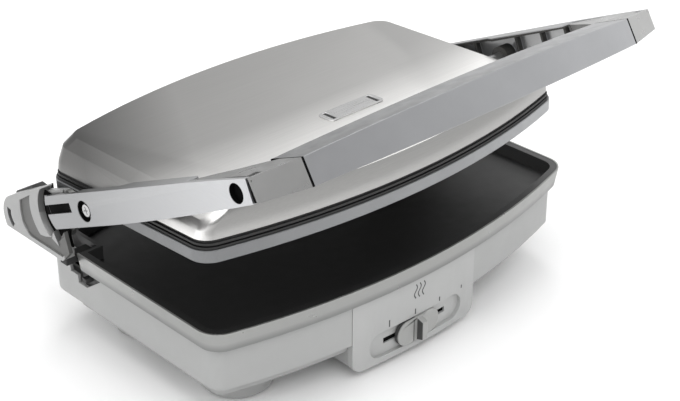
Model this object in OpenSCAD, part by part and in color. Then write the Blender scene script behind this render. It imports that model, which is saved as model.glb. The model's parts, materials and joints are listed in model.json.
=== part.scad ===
// Contact grill and sandwich press with a floating lid, standing open.
// Millimetres. X is the width, -Y the front, +Z up; the table is z = 0.
// Base, hinge links, arms and lid are four bodies joined by hinges.

/* [Plates] */
// Width of both rims
press_w = 360; // [330:1:400]
// Straight length of the rims' sides, front to rear
press_d = 180; // [150:1:210]
// How far the front edge bows out
front_bow = 28; // [15:1:40]
// How far the rear edge bows out
rear_bow = 28; // [15:1:34]
// Outer radius of the rims' corners
corner_r = 19; // [14:0.5:26]
// Depth of the lower tray
tray_deep = 11; // [8:0.5:13]
// Thickness of the tray's floor
tray_floor = 2.5; // [2:0.1:4]
// Number of ribs on the upper plate
rib_count = 17; // [9:2:23]

/* [Base] */
// Height of the lower rim's top above the table
rim_top = 80; // [76:1:90]
// Height of the silver band round the lower plate
band_h = 15; // [13:0.5:18]
// How far the housing's wall stands in from the rim
wall_in = 7; // [5:0.5:10]
// Thickness of moulded walls
wall_t = 2.5; // [2:0.1:3.5]
// Height of the housing wall's lower edge above the table
skirt_z = 31; // [26:1:36]
// Distance of the housing's rear wall behind the rim's rear corner
tail = 21; // [16:1:30]
// Radius of each foot
foot_r = 26; // [20:0.5:30]
// Sideways place of the feet
foot_x = 124.5; // [100:0.5:135]
// Front feet, forward of the plates' middle
foot_front = 47; // [35:1:60]
// Rear feet, behind the plates' middle
foot_rear = 55; // [40:1:70]

/* [Controls] */
// Width of the control panel
panel_w = 124; // [105:1:135]
// Sideways place of the control panel's middle
panel_x = -6.3; // [-12:0.1:5]
// Height of the panel's lower edge above the table
panel_low = 5.5; // [4:0.5:12]
// Height of the panel's upper edge above the table
panel_top = 62; // [56:0.5:63]
// Height of the slider's slot
slot_z = 21; // [19:0.5:30]
// Travel of the slider each way from its rest
slide_travel = 25; // [15:1:26]
// Length of the slider's knob
knob_w = 44; // [36:1:48]
// Height of the slider's knob
knob_h = 20; // [16:0.5:22]

/* [Hinges] */
// Angle that the arms swing down to close the press
press_angle = 30.5; // [28:0.5:32]
// Tilt of the raised lid, front up
lid_tilt = 3.2; // [1:0.1:4]
// Rise of the raised arms
arm_rise = 24.7; // [23:0.1:26]
// Radius of the main hinge pins
hinge_r = 5; // [4:0.5:6]
// Radius of the arm and lid pivot pins
pivot_r = 4; // [3:0.5:4.5]
// Radial clearance of a running pin
run_fit = 0.05; // [0.03:0.01:0.1]
// Height of one step of the height clip
clip_step = 6.1; // [5:0.1:6.3]
// Travel of the height clip
clip_travel = 18; // [14:0.5:18.5]

/* [Arms and handle] */
// How far the arms' outer faces stand out from the lower rim
arm_stand = 11; // [9.8:0.1:13]
// Thickness of the arms' outer wall
arm_t = 4; // [3:0.5:5]
// Half height of the arms at the hinge
arm_half = 12.6; // [11:0.1:14]
// Length of the arms from their hinge to their front end
arm_l = 227; // [215:1:240]
// Width of the grip bar between its end pieces
grip_w = 311; // [290:1:330]
// Depth of the grip bar
grip_d = 29.7; // [25:0.1:32]
// Height of the grip bar at its ends
grip_h = 18.8; // [16:0.2:22]
// How far the grip bar's front bows out
grip_bow = 15.7; // [8:0.1:24]
// How far the grip bar's top arches up
grip_arch = 5.4; // [2:0.1:9]

/* [Lid] */
// How far the lid's rim stands in from the lower rim, at the sides
lid_in = 5; // [3:0.5:8]
// Height of the silver band round the upper plate
lid_band_h = 9; // [8:0.2:11]
// Height of the ribbed gasket
gasket_h = 6.4; // [5:0.2:7]
// Height of the cover's top above the lid's lower face, at its middle
cover_top = 34.4; // [32:0.1:37]
// How far the cover's top edge stands in from the lid's rim, at the sides
cover_in = 18; // [15:0.5:22]
// Thickness of the cover's sheet
sheet = 1.2; // [0.8:0.1:1.6]

/* [Hidden] */
$fn = 64;

gap = 0.3;
eps = 0.01;
light_grey = "#b4b5b6";
silver = "#9a9c98";
steel = "#b9bab8";
black = "#1e1e1e";

// Bowed plan outline shared by the rims, the plates, the gasket and the cover
function bow_r(half, bow) = (half * half + bow * bow) / (2 * bow);
function arc(c, r, a0, a1, n) =
  [for (i = [0:n]) c + r * [cos(a0 + (a1 - a0) * i / n), sin(a0 + (a1 - a0) * i / n)]];
// a: half width; cf, rf and cr, rr: centre and radius of the front and rear bows;
// qf, qr: corner radii
function plan(a, cf, rf, cr, rr, qf, qr, nq = 8, nb = 18) =
  let (fy = cf - sqrt(pow(rf - qf, 2) - pow(a - qf, 2)),
       ry = cr + sqrt(pow(rr - qr, 2) - pow(a - qr, 2)),
       tf = atan2(fy - cf, a - qf),
       tr = atan2(ry - cr, a - qr))
  concat(arc([a - qf, fy], qf, tf, 0, nq), arc([a - qr, ry], qr, 0, tr, nq),
    arc([0, cr], rr, tr, 180 - tr, nb), arc([qr - a, ry], qr, 180 - tr, 180, nq),
    arc([qf - a, fy], qf, 180, 180 - tf, nq), arc([0, cf], rf, 180 - tf, 360 + tf, nb));

half_w = press_w / 2;
front_r = bow_r(half_w, front_bow);
front_c = front_r - press_d / 2 - front_bow;
rear_r = bow_r(half_w, rear_bow);
rear_c = press_d / 2 + rear_bow - rear_r;
function rim(i) = plan(half_w - i, front_c, front_r - i, rear_c, rear_r - i,
  max(corner_r - i, 2), max(corner_r - i, 2));

// Housing: follows the rim in front and at the sides, and runs on behind it
tail_y = press_d / 2 + tail;
tail_bow = 6;
tail_corner = 18;
wall_half = half_w - wall_in;
tail_r = bow_r(wall_half, tail_bow);
function shell(i) = plan(wall_half - i, front_c, front_r - wall_in - i,
  tail_y + tail_bow - tail_r, tail_r - i, max(corner_r - wall_in - i, 2), tail_corner - i);

// Levels of the base
band_low = rim_top - band_h;
band_taper = 2.4;
band_lip = 1.5;
tray_low = rim_top - tray_deep - tray_floor;
tray_lip = 3.5;
deck_z = band_low - 3;
pan_floor = 24;
pan_t = 2.5;
pan_in = 12;
panel_t = 4.6;
panel_deep = 42;
panel_corner = 9;
recess_deep = 2.5;
panel_y = front_c - front_r + wall_in;
shield_z = tray_low - 18;
shield_t = 0.8;
post_r = 4;
post_x = press_w * 0.264;
post_y = press_d / 4;

// Hinge axes, in the plates' frame: y from the plates' middle, z from the table
hinge_y = tail_y + 6;
hinge_z = rim_top + 8;
arm_y = press_d / 2 - 32;
arm_z = rim_top + 39.5;
lid_z = rim_top + gap;
lid_pivot_y = -press_d / 6;
lid_pivot_h = cover_top - 8.4;
// The closed lid's middle stands this far behind the plates' middle
lid_back = 3.1;
pivot_u = norm([lid_back + lid_pivot_y - arm_y, lid_z + lid_pivot_h - arm_z]);
closed_rise = atan2(lid_z + lid_pivot_h - arm_z, arm_y - lid_back - lid_pivot_y);
open_rise = closed_rise + press_angle;

// Sideways layers of the hinge, as distances from the middle plane
arm_out = half_w + arm_stand;
eye_in = arm_out - 5.5;
plate_out = eye_in - gap;
plate_in = half_w + 0.6;
cap_out = plate_in;
cap_in = cap_out - 10;
ear_out = cap_in - gap;
ear_in = ear_out - 6;
bracket_x = [ear_in - 21, ear_in - 7];

// The front edge of the grip bar and the rear of the hinge lobes set the overall depth
lobe_r = 19.5;
grip_u = arm_l + 13;
grip_lean = 7.5;
grip_fall = 1.8;
grip_mid = 0.2;
grip_under = 1.9;
grip_foot = grip_h / 2 - grip_mid - grip_under;
grip_front = (grip_u + grip_bow / cos(grip_lean) + grip_foot * tan(grip_lean)) * cos(arm_rise)
  + grip_foot * sin(arm_rise) - arm_y;
plate_y = (grip_front - (hinge_y + lobe_r)) / 2;

// Places each body's own frame
module base_space() { translate([0, plate_y, 0]) children(); }
module arm_space() {
  translate([0, plate_y + arm_y, arm_z]) rotate([-arm_rise, 0, 0]) children();
}
module lid_space() {
  translate([0, plate_y + arm_y - pivot_u * cos(open_rise), arm_z + pivot_u * sin(open_rise)])
    rotate([-lid_tilt, 0, 0]) translate([0, -lid_pivot_y, -lid_pivot_h]) children();
}
// Stands a profile drawn in (y, z) up as a slab between x0 and x1
module slab_x(x0, x1) {
  translate([x0, 0, 0]) rotate([90, 0, 90]) linear_extrude(x1 - x0) children();
}
// A prism of a plan outline between two heights
module prism(pts, z0, z1) { translate([0, 0, z0]) linear_extrude(z1 - z0) polygon(pts); }
// A rod along X
module rod_x(x0, x1, y, z, r) { translate([x0, y, z]) rotate([0, 90, 0]) cylinder(r = r, h = x1 - x0); }
module both_sides() { children(); mirror([1, 0, 0]) children(); }

// Niche for the height clip, in the left rear corner
notch_x = half_w - 17;
notch_y = press_d / 2 - 29.5;
clip_out = wall_half - wall_t - gap;
clip_in = clip_out - 6;
clip_low = rim_top - 36;
pad_low = rim_top - 9;
clip_top = pad_low - gap;
clip_len = 10;
clip_y = notch_y + 0.5;

/* Base */

module shell_wall() {
  difference() {
    prism(shell(0), skirt_z, band_low);
    prism(shell(wall_t), skirt_z - 1, band_low + 1);
    // Lower behind the rim
    translate([-wall_half - 1, press_d / 2 + 4, deck_z]) cube([press_w, 60, 30]);
  }
}

screw_spots = [for (x = [-1, 1], y = [18 - press_d / 2, 4, press_d / 2 + 8])
  [x * (half_w - (y > press_d / 2 ? 62 : 22)), y]];

module base_housing() color(light_grey) base_space() difference() {
  union() {
    shell_wall();
    // Deck behind the plate, which carries the hinge brackets
    intersection() {
      prism(shell(0.5), deck_z - pan_t, deck_z);
      translate([-half_w, press_d / 2 - 8, 0]) cube([press_w, 80, rim_top]);
    }
    // Screw posts, joined to the wall or the deck
    for (p = screw_spots) translate([p.x, p.y, skirt_z]) {
      cylinder(r = 5.5, h = (p.y > press_d / 2 ? deck_z : band_low) - skirt_z - 0.5);
      if (p.y < press_d / 2) translate([p.x > 0 ? 0 : -14, -1.25, 0])
        cube([14, 2.5, band_low - skirt_z - 0.5]);
    }
    // Shelf that the height clip slides on
    translate([-wall_half + 1, 36, clip_low - gap - 2.5]) cube([12, press_d / 2 - 30, 2.5]);
    translate([-clip_in + gap, 36, clip_low - gap - 2.5]) cube([2.4, press_d / 2 - 30, 9]);
    // Deck posts under the hinge brackets
    both_sides() translate([ear_in - 14, press_d / 2 + 16, skirt_z])
      cylinder(r = 5, h = deck_z - skirt_z - 1);
  }
  for (p = screw_spots) translate([p.x, p.y, skirt_z - 1]) cylinder(r = 2.05, h = 17);
  // Window for the control panel
  translate([panel_x - panel_w / 2 - gap, panel_y - 12, skirt_z - 1])
    cube([panel_w + 2 * gap, 26, panel_top - skirt_z + 1 + gap]);
  // Stepped niche in the left wall
  slab_x(-half_w - 1, -clip_in + 2.6) polygon([[39.5, band_low - 1.8], [62, 47.4], [72.6, 47.4],
    [73, 53.6], [81.4, 53.6], [82, 58.6], [tail_y + 40, 58.6], [tail_y + 40, 90], [39.5, 90]]);
  // Hole for the cord's gland
  translate([-60, tail_y - 12, 46]) rotate([-90, 0, 0]) cylinder(r = 8, h = 40);
  // Screw holes of the hinge brackets
  both_sides() for (x = bracket_x) translate([x, press_d / 2 + 16, deck_z - 12]) cylinder(r = 1.8, h = 20);
}

module bottom_cover() color("#a9aaab") base_space() difference() {
  union() {
    prism(rim(pan_in), pan_floor, pan_floor + pan_t);
    difference() {
      prism(rim(pan_in), pan_floor, skirt_z - pan_t);
      prism(rim(pan_in + pan_t), pan_floor - 1, skirt_z);
    }
    difference() {
      prism(shell(wall_t + gap), skirt_z - pan_t, skirt_z);
      prism(rim(pan_in + pan_t), pan_floor, skirt_z + 1);
    }
    foot_places() translate([0, 0, 1.2]) cylinder(r = foot_r, h = pan_floor - 1.2);
    for (p = screw_spots) translate([p.x, p.y, pan_floor]) cylinder(r = 7, h = skirt_z - pan_floor);
  }
  // Hollow of each foot above and seat of its rubber pad below
  foot_places() translate([0, 0, 6]) cylinder(r = foot_r - 3, h = pan_floor);
  foot_places() translate([0, 0, -1]) cylinder(r = foot_r - 5, h = 4);
  for (p = screw_spots) translate([p.x, p.y, pan_floor - 1]) {
    cylinder(r = 2.3, h = 12);
    cylinder(r = 4.6, h = 4);
  }
  // Room for the control panel's box
  translate([panel_x - panel_w / 2 - gap, panel_y - 20, pan_floor - 1])
    cube([panel_w + 2 * gap, 20 + panel_deep + gap, 12]);
  // Air slots
  for (x = [-60:12:60]) translate([x - 1.5, 62, pan_floor - 1]) cube([3, 26, 5]);
}

module foot_places() {
  for (x = [-foot_x, foot_x], y = [-foot_front, foot_rear]) translate([x, y, 0]) children();
}

module rubber_feet() color("#3a3a3b") base_space() foot_places() difference() {
  cylinder(r = foot_r - 5 - 0.2, h = 3);
  translate([0, 0, -1]) cylinder(r = foot_r - 12, h = 2);
}

/* Controls */

recess_l = 94;
recess_h = 21;
stem_w = 10;
stem_h = 3.6;
slot_len = 2 * slide_travel + stem_w + 3;
knob_back = panel_y + recess_deep - 0.4;
module stadium(l, h) { hull() for (s = [-1, 1]) translate([s * (l - h) / 2, 0]) circle(d = h, $fn = 32); }
// Draws a shape on the panel's face: x across, y up from the table
module on_panel(y0, y1) {
  translate([panel_x, y1, 0]) rotate([90, 0, 0]) linear_extrude(y1 - y0) children();
}
module panel_face(i) {
  w = panel_w / 2 - i;
  c = panel_corner - i;
  polygon(concat([[w, panel_top - i], [-w, panel_top - i]],
    arc([c - w, panel_low + i + c], c, 180, 270, 8), arc([w - c, panel_low + i + c], c, 270, 360, 8)));
}
module front_slice(i0, i1, x0, x1, z0, z1) {
  intersection() {
    difference() {
      translate([0, front_c, z0]) cylinder(r = front_r - wall_in - i0, h = z1 - z0, $fn = 360);
      translate([0, front_c, z0 - 1]) cylinder(r = front_r - wall_in - i1, h = z1 - z0 + 2, $fn = 360);
    }
    translate([x0, panel_y - 10, z0]) cube([x1 - x0, 40, z1 - z0]);
  }
}
module control_panel() color(light_grey) base_space() {
  difference() {
    union() {
      intersection() {
        front_slice(-0.4, panel_t, -half_w, half_w, 0, rim_top);
        on_panel(panel_y - 10, panel_y + 30) panel_face(0);
      }
      // Box behind the face
      difference() {
        on_panel(panel_y + 4, panel_y + panel_deep) panel_face(0.6);
        on_panel(panel_y + 2, panel_y + panel_deep - 2) panel_face(0.6 + 2);
        translate([-half_w, panel_y, shield_z - 2]) cube([press_w, 60, 40]);
        // Open above the pan at the back
        translate([-half_w, panel_y + panel_deep - 4, skirt_z + 6]) cube([press_w, 10, 60]);
      }
    }
    // Stadium recess round the slider
    intersection() {
      front_slice(-2, recess_deep, -half_w, half_w, 0, rim_top);
      on_panel(panel_y - 10, panel_y + 30) translate([0, slot_z]) stadium(recess_l, recess_h);
    }
    on_panel(panel_y - 5, panel_y + 12) translate([-slot_len / 2, slot_z - 2.25]) square([slot_len, 4.5]);
  }
  // Rails that guide the carriage
  for (z = [slot_z - 6 - gap - 2, slot_z + 6 + gap]) difference() {
    translate([panel_x - panel_w / 2 + 10, panel_y + 3.2, z]) cube([panel_w - 20, 10.4, 2]);
    front_slice(-5, 3.6, -half_w, half_w, 0, rim_top);
  }
}

module slider_knob() color("#a9a9a6") base_space() {
  difference() {
    on_panel(knob_back - 4.2, knob_back) translate([0, slot_z]) stadium(knob_w, knob_h);
    // Scooped right wing
    on_panel(knob_back - 6, knob_back - 3) translate([7, slot_z - 20]) square([40, 40]);
  }
  // Grip ridge, tapering outwards
  slab_x(panel_x - 2.6, panel_x + 2.6) polygon([[knob_back - 3.4, slot_z - knob_h / 2 + 0.6],
    [knob_back - 10, slot_z - knob_h / 2 + 2.6], [knob_back - 10, slot_z + knob_h / 2 - 2.6],
    [knob_back - 3.4, slot_z + knob_h / 2 - 0.6]]);
  // Stem through the slot, into the carriage
  translate([panel_x - stem_w / 2, knob_back - 1, slot_z - stem_h / 2])
    cube([stem_w, carriage_y - knob_back + 1.5, stem_h]);
}

// Rack and pinion between the slider and the thermostat
gear_m = 1;
gear_teeth = 24;
gear_r = gear_m * gear_teeth / 2;
gear_h = 6;
carriage_y = panel_y + panel_t + 4;
rack_y = carriage_y + 4.5;
pinion_y = rack_y + gear_r;
backlash = 0.12;
rack_teeth = 18;
// One straight-sided rack tooth, centred on x = 0, pointing to +y from its pitch line
module rack_tooth() {
  h = PI * gear_m / 4 - backlash / 2;
  t = tan(20);
  polygon([[-h - 1.1 * gear_m * t, -1.1 * gear_m], [h + 1.1 * gear_m * t, -1.1 * gear_m],
    [h - 0.95 * gear_m * t, 0.95 * gear_m], [-h + 0.95 * gear_m * t, 0.95 * gear_m]]);
}
// True involute flanks: the point at roll angle a of a base circle of radius b
function involute(b, a) = b * [cos(a) + a * PI / 180 * sin(a), sin(a) - a * PI / 180 * cos(a)];
function turned(p, a) = [p.x * cos(a) - p.y * sin(a), p.x * sin(a) + p.y * cos(a)];
module pinion_outline() {
  base = gear_r * cos(20);
  tip = gear_r + 0.95 * gear_m;
  root = gear_r - 1.2 * gear_m;
  roll = sqrt(pow(tip / base, 2) - 1) * 180 / PI;
  roll_p = sqrt(pow(gear_r / base, 2) - 1) * 180 / PI;
  lead = roll_p - 20;
  half = 90 / gear_teeth - backlash / 2 / gear_r * 180 / PI / 2;
  flank = [for (i = [0:5]) turned(involute(base, roll * i / 5), -lead - half)];
  polygon([for (k = [0:gear_teeth - 1]) each [for (p = concat([turned([root, 0], -half - lead)], flank,
    [for (i = [5:-1:0]) [flank[i].x, -flank[i].y]], [turned([root, 0], half + lead)]))
    turned(p, 90 + (k + 0.5) * 360 / gear_teeth)]]);
}

module slider_carriage() color("#d8d5cc") base_space() {
  difference() {
    translate([panel_x - 31, carriage_y, slot_z - 6]) cube([62, 3.5, 12]);
    // Socket for the knob's stem
    translate([panel_x - stem_w / 2 - 0.1, carriage_y - 1, slot_z - stem_h / 2 - 0.1])
      cube([stem_w + 0.2, 2.5, stem_h + 0.2]);
  }
  translate([panel_x, rack_y, slot_z - gear_h / 2]) linear_extrude(gear_h)
    for (k = [-rack_teeth / 2:rack_teeth / 2]) translate([k * PI * gear_m, 0]) rack_tooth();
}

module thermostat_pinion() color("#e2dfd6") base_space() translate([panel_x, pinion_y, 0]) {
  translate([0, 0, slot_z - gear_h / 2]) linear_extrude(gear_h) rotate(180) pinion_outline();
  translate([0, 0, slot_z - gear_h / 2]) cylinder(r = 3, h = 20);
  translate([0, 0, slot_z + gear_h / 2]) cylinder(r = 6, h = 2);
}

module thermostat() color("#cfcabd") base_space() translate([panel_x, pinion_y, 0]) {
  low = slot_z + gear_h / 2 + 2 + gap;
  difference() {
    union() {
      translate([-13, -10, low]) cube([26, 22, shield_z - low - 1.5]);
      translate([-22, -8, shield_z - 1.5]) cube([44, 18, 1.5]);
    }
    translate([0, 0, low - 1]) cylinder(r = 3 + run_fit, h = 13);
  }
  // Sensing stud against the plate
  translate([0, 0, shield_z - eps]) cylinder(r = 5, h = tray_low - 0.2 - shield_z);
  for (x = [-9, 9]) translate([x - 3, 11.5, low + 4]) cube([6, 2.8, 0.8]);
}

/* Lower plate */

module notch_cut(grow = 0) {
  translate([-half_w - 30, notch_y - grow, 0]) cube([30 + half_w - notch_x + grow, 80, rim_top * 2]);
}

module lower_rim_band() color(silver) base_space() difference() {
  hull() {
    prism(rim(0), rim_top - 0.2, rim_top);
    prism(rim(band_taper), band_low, band_low + 0.2);
  }
  prism(rim(band_taper + band_lip + 0.2), tray_low, rim_top - tray_lip - 0.3);
  prism(rim(band_lip), rim_top - tray_lip - 0.3, rim_top + 1);
  prism(rim(wall_in + wall_t + 1), band_low - 1, tray_low + 1);
  notch_cut();
}

module lower_plate() color(black) base_space() {
  difference() {
    union() {
      prism(rim(band_taper + band_lip + 0.4), tray_low, rim_top - tray_lip);
      prism(rim(band_lip + 0.2), rim_top - tray_lip, rim_top - 0.3);
    }
    difference() {
      prism(rim(band_taper + band_lip + 3), rim_top - tray_deep, rim_top + 1);
      notch_cut(3 + gap);
    }
    notch_cut(gap);
    // Pouring lip in the rear wall of the tray, towards the right
    translate([96, press_d / 2 + 6, rim_top - 5]) rotate([-90, 0, 0]) cylinder(r = 5, h = 30);
  }
  for (x = [-post_x, post_x], y = [-post_y, post_y]) translate([x, y, shield_z + shield_t])
    cylinder(r = post_r, h = tray_low - shield_z - shield_t);
}

// Bent tube along straight runs and quarter turns, like a tubular heater
heater_r = 3.2;
module heater_loop(hx, hy, bend, tail_len) {
  for (s = [-1, 1]) {
    translate([s * hx, bend - hy, 0]) rotate([-90, 0, 0]) cylinder(r = heater_r, h = 2 * (hy - bend));
    for (t = [-1, 1]) translate([s * (hx - bend), t * (hy - bend), 0])
      rotate([0, 0, s > 0 ? (t > 0 ? 0 : -90) : (t > 0 ? 90 : 180)])
        rotate_extrude(angle = 90) translate([bend, 0]) circle(r = heater_r, $fn = 24);
    // Rear runs stop short of each other and turn away from the plate
    translate([s * 18, hy, 0]) rotate([0, s * 90, 0]) cylinder(r = heater_r, h = hx - bend - 18);
    translate([s * 18, hy, 0]) sphere(r = heater_r, $fn = 24);
    translate([s * 18, hy, -tail_len]) cylinder(r = heater_r, h = tail_len);
  }
  translate([bend - hx, -hy, 0]) rotate([0, 90, 0]) cylinder(r = heater_r, h = 2 * (hx - bend));
}
heater_x = half_w - 55;
heater_y = press_d / 2 - 28;

module lower_heater() color("#6d6a66") base_space()
  translate([0, 0, tray_low - heater_r - 0.2]) heater_loop(heater_x, heater_y, 30, 20);

module lower_heat_shield() color("#c2c4c6") base_space() difference() {
  prism(rim(31), shield_z, shield_z + shield_t);
  translate([panel_x, pinion_y, shield_z - 1]) cylinder(r = 6, h = 4);
  for (x = [-18, 18]) translate([x, heater_y, shield_z - 1]) cylinder(r = 5, h = 4);
}

module terminal_block() color("#e8e6df") base_space() difference() {
  translate([-78, 66, pan_floor + pan_t]) cube([36, 16, 12]);
  for (x = [-72, -60, -48]) translate([x, 74, pan_floor + pan_t + 7]) cylinder(r = 3, h = 8);
}

module thermal_fuse() color("#d7d3c8") base_space() {
  translate([34, 20, shield_z + shield_t + 4]) rotate([0, 90, 0]) cylinder(r = 4, h = 26);
  translate([44, 16, shield_z + shield_t]) cube([6, 8, 2]);
}

// Sits in the rear wall below the deck; the cord itself is not part of this model
module cord_gland() color("#2a2a2a") base_space() translate([-60, 0, 46]) {
  gland_y = tail_y + tail_bow * (1 - pow(60 / wall_half, 2));
  difference() {
    union() {
      translate([0, gland_y - wall_t - 1, 0]) rotate([-90, 0, 0]) cylinder(r = 7.8, h = wall_t + 3);
      translate([0, gland_y + 0.9, 0]) rotate([-90, 0, 0]) cylinder(r1 = 9.5, r2 = 6.5, h = 9);
      translate([0, gland_y - wall_t - 4, 0]) rotate([-90, 0, 0]) cylinder(r = 9.5, h = 3.2);
    }
    translate([0, gland_y - 20, 0]) rotate([-90, 0, 0]) cylinder(r = 3.6, h = 60);
  }
}

/* Hinge brackets and height clip */

module bracket() {
  // Foot plate on the deck
  difference() {
    translate([ear_in - 28, press_d / 2 + 8, deck_z]) cube([ear_out - ear_in + 28, 17, 3]);
    for (x = bracket_x) translate([x, press_d / 2 + 16, deck_z - 1]) cylinder(r = 2.2, h = 6);
  }
  // Ear with the pin's bore
  difference() {
    union() {
      rod_x(ear_in, ear_out, hinge_y, hinge_z, 11.5);
      slab_x(ear_in, ear_out) polygon([[press_d / 2 + 8, deck_z], [press_d / 2 + 25, deck_z],
        [hinge_y + 10.9, hinge_z - 4], [hinge_y, hinge_z + 4], [hinge_y - 10.9, hinge_z + 4]]);
      // Gusset
      translate([ear_in - 12, press_d / 2 + 11, deck_z]) rotate([90, 0, 0]) linear_extrude(2.5)
        polygon([[0, 0], [13, 0], [13, 18]]);
    }
    rod_x(ear_in - 1, ear_out + 1, hinge_y, hinge_z, hinge_r);
  }
}
module hinge_bracket_right() color("#8d8f91") base_space() bracket();
module hinge_bracket_left() color("#8d8f91") base_space() mirror([1, 0, 0]) bracket();

module hinge_pins() color("#a0a2a4") base_space() both_sides() {
  rod_x(ear_in - 3, arm_out - 2.4, hinge_y, hinge_z, hinge_r);
  rod_x(ear_in - 4, ear_in, hinge_y, hinge_z, hinge_r + 3);
}

module bracket_screws() color("#8a8c8e") base_space() both_sides()
  for (x = bracket_x) translate([x, press_d / 2 + 16, 0]) {
    translate([0, 0, deck_z - 10]) cylinder(r = 1.75, h = 13);
    translate([0, 0, deck_z + 3]) cylinder(r = 3.6, h = 2.2);
  }

module base_screws() color("#8a8c8e") base_space() for (p = screw_spots) translate([p.x, p.y, 0]) {
  translate([0, 0, pan_floor + 3]) cylinder(r = 2, h = 16);
  difference() {
    translate([0, 0, pan_floor + 0.6]) cylinder(r = 4.2, h = 2.4);
    for (a = [0, 90]) rotate(a) translate([-2.4, -0.5, pan_floor]) cube([4.8, 1, 1.8]);
  }
}

// Three steps that set how far the heel, and with it the lid, comes down
module height_clip() color("#232323") base_space() {
  slab_x(-clip_out, -clip_in) polygon([[clip_y + 0.5 - 2 * clip_len, clip_low],
    [clip_y + clip_len + 1, clip_low], [clip_y + clip_len + 1, clip_top],
    [clip_y + 0.5, clip_top], [clip_y + 0.5, clip_top - clip_step],
    [clip_y + 0.5 - clip_len, clip_top - clip_step], [clip_y + 0.5 - clip_len, clip_top - 2 * clip_step],
    [clip_y + 0.5 - 2 * clip_len, clip_top - 2 * clip_step]]);
  // Finger tab through the niche
  translate([-clip_out - 6.5, clip_y - 4, clip_top - 2 * clip_step - 4.3]) cube([7, 4.5, 4]);
}

/* Hinge links */

// The collar's inner edge clears the arm's end; its middle is lower than the arm's pivot
collar_r = 24.4;
collar_y = arm_y + 5;
collar_z = arm_z - 6.5;
link_low = rim_top - 2.6;
link_front = arm_y - 5.8;
module link_outline() {
  intersection() {
    union() {
      translate([hinge_y, hinge_z]) circle(r = lobe_r, $fn = 96);
      difference() {
        polygon([[hinge_y + lobe_r * cos(61.9), hinge_z + lobe_r * sin(61.9)], [arm_y + 25, arm_z + 8.5],
          [collar_y + 12, collar_z + 8], [collar_y - 1, collar_z - 15], [link_front, rim_top + 7.7],
          [link_front + 8, rim_top - 0.8], [link_front + 10.3, link_low], [hinge_y, link_low]]);
        translate([collar_y, collar_z]) circle(r = collar_r, $fn = 96);
      }
      // Tip in front of the collar, under the arm
      polygon([[arm_y + 9, rim_top + 8.7], [arm_y - 1.3, arm_z - 16.3], [link_front, rim_top + 7.7],
        [link_front + 12, rim_top + 6]]);
    }
    translate([0, link_low]) square([400, 200]);
  }
}
// Recess that follows the collar and widens over the whole foot
module link_recess() {
  polygon(concat([[hinge_y - 4.9, hinge_z + 19.3], [hinge_y - 4.3, hinge_z + 10.2],
    [hinge_y - 5.7, hinge_z + 1.8], [hinge_y - 10.7, hinge_z - 5.1], [hinge_y - 15.2, hinge_z - 6.7],
    [link_front + 9.6, rim_top + 0.9], [link_front + 2.2, rim_top + 7.6], [arm_y - 0.4, arm_z - 18.6],
    [arm_y + 9, rim_top + 10.6], [arm_y + 17.4, rim_top + 11.8], [arm_y + 23.9, rim_top + 9.4]],
    arc([arm_y + 14.5, arm_z - 10.2], 26.2, -53, 17, 10)));
}
module link(side) {
  difference() {
    union() {
      slab_x(eye_in, arm_out) link_outline();
      // Inner plate, which runs on behind the arm's eye
      slab_x(plate_in, eye_in) intersection() {
        link_outline();
        translate([arm_y + 4, 0]) square([200, 300]);
      }
      rod_x(plate_in, plate_out, arm_y, arm_z, 14);
      slab_x(plate_in, plate_out) polygon([[arm_y - 6, arm_z - 12.6], [arm_y + 8, rim_top + 8],
        [arm_y + 30, rim_top + 10], [arm_y + 27, arm_z + 4], [arm_y + 6, arm_z + 12.6]]);
    }
    // The tip is a thin plate
    translate([eye_in - 1, 0, 0]) cube([3.5, arm_y + 4, rim_top * 2]);
    slab_x(arm_out - 1.6, arm_out + 1) link_recess();
    // Curved slot in the lobe
    slab_x(plate_in - 1, arm_out + 1) intersection() {
      difference() {
        translate([hinge_y - 1, hinge_z + 3]) circle(r = 14.9, $fn = 64);
        translate([hinge_y - 1, hinge_z + 3]) circle(r = 10.2, $fn = 64);
      }
      polygon([[hinge_y - 1, hinge_z + 3], [hinge_y + 29, hinge_z + 10], [hinge_y + 29, hinge_z - 12],
        [hinge_y + 13, hinge_z - 14]]);
    }
    rod_x(plate_in - 1, arm_out - 2.2, hinge_y, hinge_z, hinge_r + run_fit);
    rod_x(plate_in - 1, plate_out + 1, arm_y, arm_z, pivot_r);
  }
  // Three-cornered lug at the collar's foot
  slab_x(eye_in, arm_out - 0.4) polygon([[arm_y + 7.5, rim_top + 8], [arm_y + 16, rim_top + 11],
    [arm_y + 13.5, rim_top + 17.6]]);
}
module hinge_link_right() color("#b1b2b1") base_space() link();
module hinge_link_left() color("#b1b2b1") base_space() mirror([1, 0, 0]) link();

// Black caps inside the links, over the leads
module link_cap() {
  difference() {
    slab_x(cap_in, cap_out) polygon([[press_d / 2 + 6.5, rim_top + 4.5],
      [hinge_y + 13, rim_top - 5], [hinge_y + 17.5, rim_top + 16], [hinge_y + 16.5, rim_top + 22.5],
      [hinge_y - 6, rim_top + 35.8], [hinge_y - 12.5, rim_top + 35.3], [hinge_y - 17.5, rim_top + 38.3],
      [press_d / 2 + 6.5, rim_top + 40]]);
    rod_x(cap_in - 1, cap_out + 1, hinge_y, hinge_z, hinge_r + gap);
  }
}
module link_cap_right() color(black) base_space() link_cap();
module link_cap_left() color(black) base_space() mirror([1, 0, 0]) link_cap();

// Pad under the left heel, which rests on the height clip
module heel_pad() color("#262626") base_space()
  translate([-arm_out + 4, clip_y + 2.5, pad_low])
    cube([arm_out - 4 - clip_in - 0.5, clip_len - 2, link_low - pad_low]);

// Pivot of each arm in its link
module arm_pivot_pins() color("#a0a2a4") base_space() both_sides() {
  rod_x(plate_in + 0.2, eye_in + 3, arm_y, arm_z, pivot_r);
}

/* Arms and handle: y runs rearwards from the arm's hinge, so forward is -y */

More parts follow.
